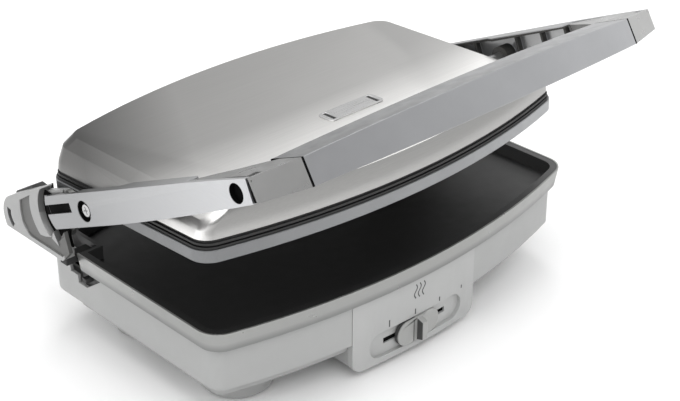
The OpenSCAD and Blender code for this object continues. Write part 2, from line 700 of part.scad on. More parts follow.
hole_u = arm_l - 13.2;
hole_w = 1;
tongue_u = arm_l - 67;
arm_end_r = 23.6;
recess_u = 32;
web_in = arm_out - arm_t;
flange_in = half_w - 3.6;
// Lower edge of the arm, which rises towards the front
function arm_under(u) = 6.2 * pow(max(0, u - 60) / (arm_l - 57), 1.6) - arm_half - 0.1;
module arm_profile() {
  intersection() {
    union() {
      circle(r = arm_end_r, $fn = 96);
      translate([-arm_l, -30]) square([arm_l, 60]);
    }
    polygon(concat([[28, arm_half - 0.6], [0, arm_half - 0.6], [-0.31 * arm_l, arm_half - 1.3],
      [-0.73 * arm_l, arm_half - 1.8], [-0.92 * arm_l, arm_half - 2.7], [-arm_l, arm_half - 3.3]],
      [for (i = [0:14]) [-arm_l + i * arm_l / 14, arm_under(arm_l - i * arm_l / 14)]],
      [[28, -arm_half - 0.1]]));
  }
}
module arm() {
  difference() {
    union() {
      slab_x(web_in, arm_out) arm_profile();
      // Hinge eye and bosses of the recessed screw and the lid's pivot
      rod_x(eye_in, web_in + 1, 0, 0, 12);
      rod_x(arm_out - 8.5, web_in + 1, -recess_u, -1.5, 10);
      rod_x(half_w - lid_in + 1.5, web_in + 1, -pivot_f, pivot_w, 8.5);
      // Top flange, wide where the lid stays clear of it
      intersection() {
        slab_x(flange_in, web_in + 1) difference() {
          arm_profile();
          translate([0, -2.4]) arm_profile();
          translate([-24, -60]) square([60, 90]);
        }
        linear_extrude(80, center = true) polygon([[web_in + 2, -20], [half_w + 2, -24], [half_w + 2, -72],
          [flange_in, -82], [flange_in, 2 - tongue_u], [web_in + 2, 1 - tongue_u]]);
      }
      // Narrow bottom flange and cross ribs
      intersection() {
        slab_x(half_w + 2, web_in + 1) difference() {
          arm_profile();
          translate([0, 2.4]) arm_profile();
          translate([-28, -30]) square([60, 60]);
        }
        translate([half_w - 5, 1 - tongue_u, -40]) cube([40, 300, 80]);
      }
      for (u = [0.25, 0.45, 0.57, 0.68] * arm_l) intersection() {
        slab_x(half_w + 2, web_in + 1) arm_profile();
        translate([half_w, -u - 1, -20]) cube([20, 2, 40]);
      }
    }
    // Pivot bores, blind from the inside
    rod_x(eye_in - 1, eye_in + 3.4, 0, 0, pivot_r + run_fit);
    rod_x(half_w - lid_in, arm_out - 1.6, -pivot_f, pivot_w, pivot_r + run_fit);
    // Slot in the outer face, open at the rear end
    translate([arm_out - 2.6, -15, -1.5]) cube([5, 50, 7]);
    // Recess of the rear screw and deep hole of the front screw
    rod_x(arm_out - 3.4, arm_out + 1, -recess_u, -1.5, 7.8);
    rod_x(arm_out - 9, arm_out + 1, -recess_u, -1.5, 2.2);
    rod_x(web_in - 1, arm_out + 1, -hole_u, hole_w, 6.6);
    // Bevelled rear edge
    difference() {
      translate([arm_out - 2.5, 10, -30]) cube([5, 30, 60]);
      rod_x(arm_out - 3, arm_out + 3, 0, 0, arm_end_r - 4);
    }
  }
}
pivot_f = pivot_u * cos(arm_rise - open_rise);
pivot_w = -pivot_u * sin(arm_rise - open_rise);
module arm_right() color("#c3c5c8") arm_space() arm();
module arm_left() color("#c3c5c8") arm_space() mirror([1, 0, 0]) arm();

grip_half = grip_w / 2;
// Plan of the bar: front and rear edges are arcs; i insets them
module grip_plan(i = 0) {
  f = bow_r(grip_half, grip_bow);
  b = bow_r(grip_half, grip_bow * 0.9);
  ta = asin(grip_half / f);
  tb = asin(grip_half / b);
  polygon(concat(arc([0, f - grip_u - grip_bow], f - i, 270 - ta, 270 + ta, 24),
    arc([0, b - grip_u + grip_d - grip_bow * 0.9], b + i, 270 + tb, 270 - tb, 24)));
}
// The plan leans: lower edges stand further forward
module leaning() {
  translate([0, -grip_u, 0]) rotate([-grip_lean, 0, 0]) translate([0, grip_u, -60])
    linear_extrude(120) children();
}
// Front view of the bar, which falls a little forwards: the top arches, the underside too
module grip_front_view() {
  t = bow_r(grip_half, grip_arch);
  l = bow_r(grip_half, grip_under);
  ta = asin(grip_half / t);
  tl = asin(grip_half / l);
  polygon(concat(arc([0, grip_mid + grip_h / 2 + grip_arch - t], t, 90 - ta, 90 + ta, 24),
    arc([0, grip_mid + grip_under - grip_h / 2 - l], l, 90 + tl, 90 - tl, 12)));
}
module falling() {
  translate([0, -grip_u - grip_bow, 0]) rotate([grip_fall, 0, 0]) translate([0, -30, 0])
    rotate([-90, 0, 0]) mirror([0, 1, 0]) linear_extrude(150) children();
}
module handle_bar() color("#9b9da1") arm_space() difference() {
  intersection() {
    leaning() grip_plan();
    falling() grip_front_view();
  }
  // Hollow in the underside
  intersection() {
    leaning() grip_plan(5.5);
    translate([-grip_half + 22, -grip_u - 60, -30]) cube([grip_w - 44, 120, 29]);
  }
}

// Bevelled end piece between an arm and the bar, with a tongue inside the arm
module handle_corner() {
  difference() {
    intersection() {
      leaning() polygon([[grip_half + 0.2, grip_d - grip_u], [grip_half + 0.2, -grip_u],
        [arm_out, -arm_l - 4], [arm_out, -arm_l - 3.6], [arm_out - 11, -arm_l - 3.6],
        [arm_out - 11, -arm_l + 3], [web_in - gap, -arm_l + 3], [web_in - gap, -tongue_u],
        [web_in - 4, -tongue_u],
        [web_in - 13, -tongue_u - 17], [web_in - 20, -tongue_u - 32]]);
      falling() polygon([[grip_half, grip_mid - grip_h / 2], [arm_out, grip_mid + 2.2 - grip_h / 2],
        [arm_out, grip_mid + grip_h / 2 - 0.9], [grip_half, grip_mid + grip_h / 2]]);
      // Top of the tongue, level with the arm's
      slab_x(0, arm_out + 1) polygon([[-400, 60], [-400, -60], [20 - tongue_u, -60],
        [20 - tongue_u, arm_half - 2.4], [-arm_l + 19, arm_half - 2.4], [-arm_l + 2, arm_half - 1.4],
        [-grip_u - 20, 40]]);
    }
    // Screw well behind the arm's hole
    rod_x(web_in - 12, web_in + 1, -hole_u, hole_w, 6.4);
    rod_x(web_in - 26, web_in + 1, -hole_u, hole_w, 2.05);
  }
}
module handle_corner_right() color("#a3a4a3") arm_space() handle_corner();
module handle_corner_left() color("#a3a4a3") arm_space() mirror([1, 0, 0]) handle_corner();

module screw_x(x_head, x_tip, u, w, r) {
  rod_x(x_tip, x_head, -u, w, r);
  difference() {
    rod_x(x_head, x_head + 2, -u, w, 2.1 * r);
    translate([x_head + 0.8, -u - 1.4 * r, w - 0.4]) cube([2, 2.8 * r, 0.8]);
    translate([x_head + 0.8, -u - 0.4, w - 1.4 * r]) cube([2, 0.8, 2.8 * r]);
  }
}
module arm_screws() color("#8a8c8e") arm_space() both_sides() {
  screw_x(arm_out - 3.4, arm_out - 8.4, recess_u, -1.5, 2.1);
  screw_x(web_in - 12, web_in - 25, hole_u, hole_w, 2);
}

// Trough that carries the lid's leads inside the left arm
module wire_cover() color("#232323") arm_space() mirror([1, 0, 0])
  translate([half_w + 1.4, 8.8 - pivot_f, -8]) difference() {
    cube([web_in - half_w - 1.5, 17, 6]);
    translate([-1, -1, 1]) cube([4, 19, 4]);
  }

/* Lid: own frame at the middle of its lower face */

lid_half = half_w - lid_in;
lid_d = press_d - 1.4 * lid_in;
lid_bow = front_bow - 0.5;
lid_fr = bow_r(lid_half, lid_bow);
lid_fc = lid_fr - lid_d / 2 - lid_bow;
lid_rr = bow_r(lid_half, rear_bow - 0.5);
lid_rc = lid_d / 2 + rear_bow - 0.5 - lid_rr;
lid_q = corner_r - 2.4;
function lid_rim(i) = plan(lid_half - i, lid_fc, lid_fr - i, lid_rc, lid_rr - i,
  max(lid_q - i, 2), max(lid_q - i, 2));
foot_in = 2.5;
cover_low = lid_band_h + gasket_h;
cover_side = cover_in;
cover_end = 8;
cover_rise = 1.6;
// Level outlines of the cover above its foot; its top rises to the rear
function cover_plan(side, end, i) = plan(lid_half - side - i, lid_fc, lid_fr - end - i,
  lid_rc, lid_rr - end - i, 11, 13);
module on_cover(h) { translate([0, 0, h]) rotate([cover_rise, 0, 0]) children(); }

module upper_rim_band() color(silver) lid_space() difference() {
  prism(lid_rim(0), 0, lid_band_h);
  prism(lid_rim(1.6), -1, lid_band_h - 1.5);
  prism(lid_rim(8), -1, lid_band_h + 1);
}

// Gasket with two ridges; its upright stands inside the cover's lower edge
module lid_gasket() color(black) lid_space() difference() {
  union() {
    prism(lid_rim(foot_in + sheet + 0.2), lid_band_h, cover_low + 1.6);
    prism(lid_rim(foot_in + 0.8), lid_band_h, cover_low);
    prism(lid_rim(1.2), lid_band_h, lid_band_h + 0.28 * gasket_h);
    prism(lid_rim(1.8), lid_band_h + 0.42 * gasket_h, lid_band_h + 0.7 * gasket_h);
  }
  prism(lid_rim(8), lid_band_h - 1, cover_low + 3);
}

module cover_form(i) {
  hull() {
    prism(lid_rim(foot_in + i), cover_low - (i > 0 ? 1 : 0), cover_low + 0.2);
    prism(cover_plan(foot_in + 1.4, foot_in + 0.8, i), cover_low + 6.2, cover_low + 6.4);
    on_cover(cover_top - 5.4) prism(cover_plan(foot_in + 6.2, foot_in + 2.2, i), -0.2, 0);
    on_cover(cover_top - i) prism(cover_plan(cover_side, cover_end, i), -0.2, 0);
  }
}
module lid_cover() color(steel) lid_space() difference() {
  cover_form(0);
  cover_form(sheet);
  // Clearance for the pivot pins and the indicator's sockets
  rod_x(-half_w, half_w, lid_pivot_y, lid_pivot_h, pivot_r + 0.8);
  on_cover(cover_top) translate([lamp_x, lamp_y, 0]) for (s = [-1, 1])
    translate([s * lamp_gap / 2 - 3, -8, -5]) cube([6, 16, 8]);
}
lamp_x = 14;
lamp_y = -28.5;
lamp_gap = 43.5;

module upper_plate() color(black) lid_space() {
  difference() {
    prism(lid_rim(1.8), 1.6, lid_band_h - 1.7);
    prism(lid_rim(12), lid_band_h - 4.2, lid_band_h);
  }
  // Grill ribs on the cooking face
  for (k = [0:rib_count - 1]) intersection() {
    translate([24 - lid_half + k * (2 * lid_half - 48) / (rib_count - 1) - 3, -150, 0.2]) cube([6, 300, 1.6]);
    prism(lid_rim(13), 0, 3);
  }
  for (x = [-post_x, post_x], y = [-post_y, post_y]) translate([x, y, lid_band_h - 5])
    cylinder(r = post_r, h = 9.5);
}

module upper_heater() color("#6d6a66") lid_space()
  translate([0, 0, lid_band_h - 4 + heater_r]) mirror([0, 0, 1]) heater_loop(heater_x, heater_y, 30, 6);

module upper_heat_shield() color("#c2c4c6") lid_space() difference() {
  prism(lid_rim(20), lid_band_h + 4.5, lid_band_h + 5.1);
  for (x = [-18, 18]) translate([x, heater_y, lid_band_h]) cylinder(r = 5, h = 8);
}

// Steel cross frame under the cover, which carries the pivots and the plate
module lid_frame() color("#9c9ea0") lid_space() {
  both_sides() difference() {
    translate([lid_half - cover_side - 9, lid_pivot_y - 10, lid_band_h + 5.1])
      cube([4, 20, lid_pivot_h + 5 - lid_band_h - 5.1]);
    rod_x(lid_half - cover_side - 12, half_w, lid_pivot_y, lid_pivot_h, pivot_r);
  }
  both_sides() translate([70, lid_pivot_y - 10, lid_band_h + 5.1])
    cube([lid_half - cover_side - 9 - 70 + eps, 20, 2]);
  for (x = [-post_x, post_x]) translate([x - 9, -post_y - 9, lid_band_h + 5.1])
    cube([18, 2 * post_y + 18, 2]);
}

module lid_pivot_pins() color("#a0a2a4") lid_space() both_sides() {
  rod_x(lid_half - cover_side - 12.5, arm_out - 2, lid_pivot_y, lid_pivot_h, pivot_r);
  rod_x(lid_half - cover_side - 12.5, lid_half - cover_side - 9.2, lid_pivot_y, lid_pivot_h, pivot_r + 0.8);
}

module indicator_plate() color("#bdbebc") lid_space() on_cover(cover_top)
  translate([lamp_x, lamp_y, 0]) difference() {
  linear_extrude(0.9) hull() for (x = [-23.4, 23.4], y = [-4.4, 4.4]) translate([x, y])
    circle(r = 3.6, $fn = 24);
  for (s = [-1, 1]) translate([s * lamp_gap / 2 - 1.6, -6, -1]) cube([3.2, 12, 3]);
}

module indicator_lenses() color("#33302c") lid_space() on_cover(cover_top) translate([lamp_x, lamp_y, 0])
  for (s = [-1, 1]) {
    translate([s * lamp_gap / 2 - 1.4, -5.8, -3.4]) cube([2.8, 11.6, 4]);
    translate([s * lamp_gap / 2 - 2.6, -7.4, -3.4]) cube([5.2, 14.8, 2]);
  }

module neon_lamps() color("#d9b8a0") lid_space() on_cover(cover_top) translate([lamp_x, lamp_y, -6.6])
  for (s = [-1, 1]) translate([s * lamp_gap / 2, -5, 0]) rotate([-90, 0, 0]) cylinder(r = 2.6, h = 10);

module lid_screws() color("#8a8c8e") lid_space()
  for (x = [-post_x, post_x], y = [-post_y, post_y]) translate([x, y, lid_band_h + 7.1])
    cylinder(r = 3.4, h = 2);

base_housing();
bottom_cover();
rubber_feet();
control_panel();
slider_knob();
slider_carriage();
thermostat();
thermostat_pinion();
lower_rim_band();
lower_plate();
lower_heater();
lower_heat_shield();
terminal_block();
thermal_fuse();
cord_gland();
hinge_bracket_left();
hinge_bracket_right();
hinge_pins();
base_screws();
bracket_screws();
height_clip();
hinge_link_left();
hinge_link_right();
link_cap_left();
link_cap_right();
heel_pad();
arm_pivot_pins();
arm_left();
arm_right();
handle_bar();
handle_corner_left();
handle_corner_right();
arm_screws();
wire_cover();
lid_cover();
lid_gasket();
upper_rim_band();
upper_plate();
upper_heater();
upper_heat_shield();
lid_frame();
lid_pivot_pins();
indicator_plate();
indicator_lenses();
neon_lamps();
lid_screws();
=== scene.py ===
import json
import math

import bmesh
import bpy
from mathutils import Matrix, Vector


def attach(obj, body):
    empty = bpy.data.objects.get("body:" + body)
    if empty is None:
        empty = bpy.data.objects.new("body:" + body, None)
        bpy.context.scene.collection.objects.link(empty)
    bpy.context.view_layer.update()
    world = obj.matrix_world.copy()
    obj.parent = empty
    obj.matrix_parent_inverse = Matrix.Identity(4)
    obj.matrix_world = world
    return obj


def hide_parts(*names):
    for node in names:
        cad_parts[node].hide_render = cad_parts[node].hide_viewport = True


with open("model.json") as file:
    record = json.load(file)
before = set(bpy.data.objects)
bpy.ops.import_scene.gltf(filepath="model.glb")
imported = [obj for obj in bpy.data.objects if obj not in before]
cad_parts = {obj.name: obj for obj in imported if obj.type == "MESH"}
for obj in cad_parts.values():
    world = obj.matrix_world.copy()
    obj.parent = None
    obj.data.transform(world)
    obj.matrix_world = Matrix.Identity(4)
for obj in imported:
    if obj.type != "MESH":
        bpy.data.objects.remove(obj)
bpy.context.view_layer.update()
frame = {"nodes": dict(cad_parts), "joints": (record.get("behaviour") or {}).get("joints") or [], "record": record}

NODES = frame["nodes"]
BODY = {n: b for b, ns in frame["record"]["behaviour"]["bodies"].items() for n in ns}
JOINT = {j["name"]: j for j in frame["joints"]}
ARM = Vector(JOINT["arm_press"]["pos_m"])
# How far the arms rise towards the grip, in the photographed pose
ARM_RISE = math.radians(24.7)
ARM_SIN, ARM_COS = math.sin(ARM_RISE), math.cos(ARM_RISE)
# The plates' middle lies this far behind the table origin, in mm
PLATE = ARM.y * 1000 - 58
# The slider knob's middle in the plates' frame, in mm
KNOB_X, KNOB_Y, KNOB_Z = -6.3, -108.9, 21

# Materials


def grey(v, g=None, b=None):
    return (v, v if g is None else g, v if b is None else b, 1.0)


def shade(color, k):
    """A colour times k."""
    return tuple(v * k for v in color[:3]) + (1,)


class Mat:
    """A small procedural material: base colour with variation, roughness and bump from noise."""

    def __init__(self, name, color, rough=0.5, metal=0.0, spec=0.5):
        self.m = bpy.data.materials.new(name)
        self.m.use_nodes = True
        self.t = self.m.node_tree
        self.t.nodes.clear()
        self.out = self.t.nodes.new("ShaderNodeOutputMaterial")
        self.b = self.t.nodes.new("ShaderNodeBsdfPrincipled")
        self.t.links.new(self.b.outputs[0], self.out.inputs[0])
        self.color = color
        self.b.inputs["Base Color"].default_value = color
        self.b.inputs["Roughness"].default_value = rough
        self.b.inputs["Metallic"].default_value = metal
        self.b.inputs["Specular IOR Level"].default_value = spec
        self.m.diffuse_color = color

    def feed(self, value, socket):
        """Links an output to a socket, or sets the socket to a plain value."""
        if hasattr(value, "links"):
            self.t.links.new(value, socket)
        else:
            socket.default_value = value

    def coords(self, scale=(1, 1, 1)):
        c = self.t.nodes.new("ShaderNodeTexCoord")
        p = self.t.nodes.new("ShaderNodeMapping")
        p.inputs["Scale"].default_value = scale
        self.t.links.new(c.outputs["Object"], p.inputs["Vector"])
        return p.outputs["Vector"]

    def axis(self, name):
        """The object coordinate along one axis."""
        c = self.t.nodes.new("ShaderNodeTexCoord")
        n = self.t.nodes.new("ShaderNodeSeparateXYZ")
        self.t.links.new(c.outputs["Object"], n.inputs[0])
        return n.outputs[name]

    def along(self, way, output="Object"):
        """How far the point, or the normal, lies along a way, in the object's own axes."""
        c = self.t.nodes.new("ShaderNodeTexCoord")
        n = self.t.nodes.new("ShaderNodeVectorMath")
        n.operation = "DOT_PRODUCT"
        n.inputs[1].default_value = way
        self.t.links.new(c.outputs[output], n.inputs[0])
        return n.outputs["Value"]

    def calc(self, op, a, b=None):
        n = self.t.nodes.new("ShaderNodeMath")
        n.operation = op
        self.feed(a, n.inputs[0])
        if b is not None:
            self.feed(b, n.inputs[1])
        return n.outputs[0]

    def noise(self, scale, detail=3.0, vec=None, rough=0.6):
        n = self.t.nodes.new("ShaderNodeTexNoise")
        n.inputs["Scale"].default_value = scale
        n.inputs["Detail"].default_value = detail
        n.inputs["Roughness"].default_value = rough
        if vec is None:
            vec = self.coords()
        self.t.links.new(vec, n.inputs["Vector"])
        return n.outputs["Fac"]

    def span(self, fac, a, b, lo=0.3, hi=0.7):
        r = self.t.nodes.new("ShaderNodeMapRange")
        r.inputs["From Min"].default_value = lo
        r.inputs["From Max"].default_value = hi
        r.inputs["To Min"].default_value = a
        r.inputs["To Max"].default_value = b
        self.t.links.new(fac, r.inputs["Value"])
        return r.outputs["Result"]

    def mix(self, fac, a, b):
        m = self.t.nodes.new("ShaderNodeMix")
        m.data_type = "RGBA"
        for k, v in ((0, fac), (6, a), (7, b)):
            self.feed(v, m.inputs[k])
        return m.outputs[2]

    def paint(self, color):
        self.t.links.new(color, self.b.inputs["Base Color"])

    def tint(self, fac, amount):
        """Varies the base colour by amount each way."""
        ends = shade(self.color, 1 - amount), shade(self.color, 1 + amount)
        self.paint(self.mix(self.span(fac, 0, 1), *ends))

    def roughen(self, fac, a, b, lo=0.3, hi=0.7):
        self.t.links.new(self.span(fac, a, b, lo, hi), self.b.inputs["Roughness"])

    def bump(self, fac, height, strength=1.0):
        n = self.t.nodes.new("ShaderNodeBump")
        n.inputs["Distance"].default_value = height
        n.inputs["Strength"].default_value = strength
        self.t.links.new(fac, n.inputs["Height"])
        self.t.links.new(n.outputs["Normal"], self.b.inputs["Normal"])


def brush_lines(m, amount):
    """Grinding lines run across the object, along X, in every pose."""
    t = m.t.nodes.new("ShaderNodeCombineXYZ")
    t.inputs[0].default_value = 1.0
    m.t.links.new(t.outputs[0], m.b.inputs["Tangent"])
    m.b.inputs["Anisotropic"].default_value = amount


def moulded(name, color, rough=0.45, grain=2200, depth=0.00003):
    """Moulded plastic with a fine spark-eroded grain."""
    m = Mat(name, color, rough)
    fine = m.noise(grain, 2)
    m.tint(m.noise(18, 4), 0.035)
    m.roughen(m.noise(60, 3), rough - 0.05, rough + 0.07)
    m.bump(fine, depth, 0.5)
    return m.m


def brushed(name, color, rough):
    """Brushed metal: noise drawn out into long fine streaks."""
    m = Mat(name, color, rough, 1.0)
    s = m.noise(60, 6, m.coords((1, 60, 60)), 0.7)
    m.tint(s, 0.08)
    m.roughen(s, rough - 0.06, rough + 0.08)
    m.bump(s, 0.00002, 0.35)
    brush_lines(m, 0.5)
    return m.m


def cast(name, color, rough, metal=1.0, grain=900, depth=0.00003):
    """Satin cast or painted metal with faint unevenness."""
    m = Mat(name, color, rough, metal)
    m.tint(m.noise(25, 4), 0.04)
    m.roughen(m.noise(90, 3), rough - 0.05, rough + 0.06)
    m.bump(m.noise(grain, 2), depth, 0.4)
    return m.m


def facing(m, way, lo, hi, a, b):
    """A factor from a to b with how far the surface faces a way, in the object's own axes."""
    return m.span(m.along(way, "Normal"), a, b, lo, hi)


def painted_ceiling_shade(m):
    """Painted reflection of the dim ceiling: faces that look up along the arm's square direction are darker."""
    return facing(m, (0, ARM_SIN, ARM_COS), 0.86, 0.97, 1.0, 0.66)


def scaled(m, color, factor):
    """A colour output times a factor output."""
    n = m.t.nodes.new("ShaderNodeVectorMath")
    n.operation = "SCALE"
    m.t.links.new(color, n.inputs[0])
    m.t.links.new(factor, n.inputs["Scale"])
    return n.outputs[0]


def painted_light_metal(name, color, rough, metal, a, b):
    """Satin metal with painted light: its colour runs from a to b times itself, left to right, with a random tone
    and a painted ceiling reflection.
    """
    m = Mat(name, color, rough, metal)
    # Painted light: darker on the left, lighter on the right
    painted_light_and_tone = m.mix(m.span(m.axis("X"), 0, 1, -0.15, 0.15), shade(color, a), shade(color, b))
    painted_light_and_tone = scaled(m, painted_light_and_tone, m.span(m.noise(25, 4), 0.96, 1.04))
    # Painted reflection of the dim ceiling on faces that look up
    m.paint(scaled(m, painted_light_and_tone, painted_ceiling_shade(m)))
    m.roughen(m.noise(90, 3), rough - 0.04, rough + 0.06)
    m.bump(m.noise(900, 2), 0.00002, 0.4)
    return m.m


def cover_steel_painted_light(name, color, rough):
    """Brushed steel with painted light: a painted highlight towards the front, painted shade at its rear left edge
    and on faces that look forward.
    """
    m = Mat(name, color, rough, 1.0)
    s = m.noise(14, 7, m.coords((1, 130, 130)), 0.75)
    tone = m.mix(m.span(s, 0, 1), shade(color, 0.93), shade(color, 1.06))
    # Painted highlight: brighter towards the front
    tone = scaled(m, tone, m.span(m.axis("Y"), 1.62, 1.0, -0.018, 0.03))
    # Painted shade: darker towards the rear left edge
    tone = scaled(m, tone, m.span(m.along((-0.86, 0.51, 0.0)), 1.08, 0.34, 0.11, 0.185))
    # Painted shade on faces that look forward
    m.paint(scaled(m, tone, facing(m, (0, -1, 0), 0.35, 0.85, 1.0, 0.40)))
    m.roughen(s, rough - 0.03, rough + 0.05)
    m.bump(s, 0.000006, 0.3)
    brush_lines(m, 0.6)
    return m.m


def arm_cast_painted_light(name, color, dark, rough):
    """Polished outside and top edge; painted shade makes the hollow inner side near black; painted light along the
    arm and a painted ceiling reflection on its tops.
    """
    m = Mat(name, color, rough, 0.85)
    # u runs along the arm towards the grip, w square to it
    dy = m.calc("SUBTRACT", m.axis("Y"), ARM.y)
    dz = m.calc("SUBTRACT", m.axis("Z"), ARM.z)
    u = m.calc("SUBTRACT", m.calc("MULTIPLY", dz, ARM_SIN), m.calc("MULTIPLY", dy, ARM_COS))
    w = m.calc("ADD", m.calc("MULTIPLY", dy, ARM_SIN), m.calc("MULTIPLY", dz, ARM_COS))
    # The top edge and the outside count as lit; the hollow inner side gets painted shade
    top = m.calc("GREATER_THAN", m.calc("ADD", w, m.calc("MULTIPLY", u, 0.009)), 0.0113)
    outside = m.calc("GREATER_THAN", m.calc("ABSOLUTE", m.axis("X")), 0.1866)
    lit = m.calc("MAXIMUM", top, outside)
    fine = m.noise(45, 5, m.coords((30, 2, 30)), 0.6)
    # Painted light along the arm: darker towards the hinge, brighter towards the grip
    hi = m.mix(m.span(u, 0, 1, 0.03, 0.2), shade(color, 0.60), shade(color, 1.06))
    hi = m.mix(m.span(fine, 0, 0.12), scaled(m, hi, painted_ceiling_shade(m)), grey(0.3))
    # Painted shade on the hollow inner side: near black, with a random tone
    lo = m.mix(m.span(m.noise(70, 3), 0, 1), shade(dark, 0.8), shade(dark, 1.25))
    m.paint(m.mix(lit, lo, hi))
    m.roughen(lit, 0.55, rough, 0, 1)
    m.t.links.new(m.span(lit, 0.1, 0.85, 0, 1), m.b.inputs["Metallic"])
    m.bump(m.noise(900, 2), 0.00002, 0.3)
    return m.m


MAT = {
    "base_plastic": moulded("base_plastic", grey(0.352, 0.355, 0.352), 0.42),
    "cover_plastic": moulded("cover_plastic", grey(0.325, 0.328, 0.325), 0.5),
    "panel_plastic": moulded("panel_plastic", grey(0.395, 0.398, 0.395), 0.38),
    "knob_plastic": moulded("knob_plastic", grey(0.33, 0.332, 0.325), 0.33),
    "inner_plastic": moulded("inner_plastic", grey(0.7, 0.69, 0.64), 0.5),
    "ceramic": moulded("ceramic", grey(0.72, 0.7, 0.65), 0.6, 900),
    "rim_metal": cast("rim_metal", grey(0.315, 0.318, 0.31), 0.32, 0.7),
    "black_coating": cast("black_coating", grey(0.018), 0.43, 0.0, 1500, 0.00006),
    "heater_metal": cast("heater_metal", grey(0.2, 0.19, 0.18), 0.5),
    "shield_metal": cast("shield_metal", grey(0.6), 0.35),
    "black_plastic": moulded("black_plastic", grey(0.012), 0.42),
    "rubber": moulded("rubber", grey(0.02), 0.75, 1200),
    "gasket_rubber": moulded("gasket_rubber", grey(0.01), 0.5, 1500),
    "bracket_metal": cast("bracket_metal", grey(0.42), 0.35),
    "screw_metal": brushed("screw_metal", grey(0.5), 0.3),
    "link_metal": cast("link_metal", grey(0.35, 0.352, 0.35), 0.36, 0.75),
    # The arms carry painted light, painted shade on their hollow inner side and a painted ceiling reflection
    "arm_metal": arm_cast_painted_light("arm_metal", grey(0.50, 0.505, 0.515), grey(0.03, 0.029, 0.027),
                          0.30),
    # The bar and corners carry painted light, darker on the left and lighter on the right
    "bar_metal": painted_light_metal("bar_metal", grey(0.36, 0.364, 0.375), 0.32, 0.8, 0.72, 1.3),
    "corner_metal": painted_light_metal("corner_metal", grey(0.36, 0.36, 0.357), 0.3, 0.85, 0.68, 1.4),
    # The cover's brushed steel carries a painted highlight and painted shade
    "brushed_cover": cover_steel_painted_light("brushed_cover", grey(0.56, 0.555, 0.545), 0.31),
    "indicator_metal": brushed("indicator_metal", grey(0.62), 0.3),
    "lens_plastic": moulded("lens_plastic", grey(0.01), 0.2),
    "lamp_glass": moulded("lamp_glass", grey(0.7, 0.5, 0.4), 0.1),
}

# Pieces


def smooth(o):
    for p in o.data.polygons:
        p.use_smooth = True
    o.data.set_sharp_from_angle(angle=math.radians(35))


def round_edges(o, width, angle):
    b = o.modifiers.new("edges", "BEVEL")
    b.width = width
    b.segments = 2
    b.limit_method = "ANGLE"
    b.angle_limit = math.radians(angle)


# The bands' long thin faces are left as they come
UNDISSOLVED = ("lower_rim_band", "upper_rim_band")


def skin(node, bevel):
    """A finished copy of a CAD node: welded, with rounded edges, standing for the node."""
    me = NODES[node].data.copy()
    o = bpy.data.objects.new("skin_" + node, me)
    bpy.context.scene.collection.objects.link(o)
    bm = bmesh.new()
    bm.from_mesh(me)
    bmesh.ops.remove_doubles(bm, verts=bm.verts, dist=1e-6)
    if node not in UNDISSOLVED:
        bmesh.ops.dissolve_limit(bm, angle_limit=math.radians(0.4), verts=bm.verts,
                                 edges=bm.edges, delimit={"NORMAL"})
    bmesh.ops.recalc_face_normals(bm, faces=bm.faces)
    bm.to_mesh(me)
    bm.free()
    round_edges(o, bevel, 32)
    smooth(o)
    slot = next(s["material_slot"] for s in frame["record"]["subparts"] if s["node"] == node)
    o.data.materials.clear()
    o.data.materials.append(MAT[slot])
    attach(o, BODY[node])
    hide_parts(node)
    return o


SKINS = {
    "base_housing": 0.0008, "bottom_cover": 0.0008, "control_panel": 0.0005, "slider_knob": 0.0006,
    "lower_rim_band": 0.0003, "lower_plate": 0.0012, "hinge_bracket_left": 0.0004,
    "hinge_bracket_right": 0.0004, "hinge_link_left": 0.0007, "hinge_link_right": 0.0007,
    "link_cap_left": 0.0009, "link_cap_right": 0.0009, "height_clip": 0.0004, "heel_pad": 0.0003,
    "arm_left": 0.0005, "arm_right": 0.0005, "handle_bar": 0.0012, "handle_corner_left": 0.0008,
    "handle_corner_right": 0.0008, "lid_cover": 0.0008, "lid_gasket": 0.0004,
    "upper_rim_band": 0.0005, "upper_plate": 0.0006, "indicator_plate": 0.0003,
    "cord_gland": 0.0005,
}
PIECE = {n: skin(n, w) for n, w in SKINS.items()}

# The knob's wings keep a hair's breadth from the ends of the fascia's recess
for v in PIECE["slider_knob"].data.vertices:
    v.co.x = KNOB_X / 1000 + (v.co.x - KNOB_X / 1000) * 0.982

for s in frame["record"]["subparts"]:
    if s["node"] not in SKINS:
        o = NODES[s["node"]]
        o.data.materials.clear()
        o.data.materials.append(MAT[s["material_slot"]])

# Added pieces: inlays, painted shade in hollows and gaps, and printed marks, in mm in the plates' or the arms'
# frame


def at_base(x, y, z):
    return Vector((x, y + PLATE, z)) / 1000


def at_arm(x, y, z):
    """Arms' frame: y runs rearwards along the arm from its hinge, z square to it."""
    return Vector((x / 1000, ARM.y + (y * ARM_COS + z * ARM_SIN) / 1000,
                   ARM.z + (z * ARM_COS - y * ARM_SIN) / 1000))


def finish_piece(name, bm, body, material):
    bmesh.ops.recalc_face_normals(bm, faces=bm.faces)
    me = bpy.data.meshes.new(name)
    bm.to_mesh(me)
    bm.free()
    o = bpy.data.objects.new(name, me)
    bpy.context.scene.collection.objects.link(o)
    o.data.materials.append(material)
    smooth(o)
    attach(o, body)
    return o


def prism_x(bm, outline, x0, x1, place):
    """A prism along X of an outline in (y, z)."""
    rings = [[bm.verts.new(place(x, y, z)) for y, z in outline] for x in (x0, x1)]
    n = len(outline)
    for i in range(n):
        j = (i + 1) % n
        bm.faces.new((rings[0][i], rings[0][j], rings[1][j], rings[1][i]))
    bm.faces.new(rings[0])
    bm.faces.new(list(reversed(rings[1])))


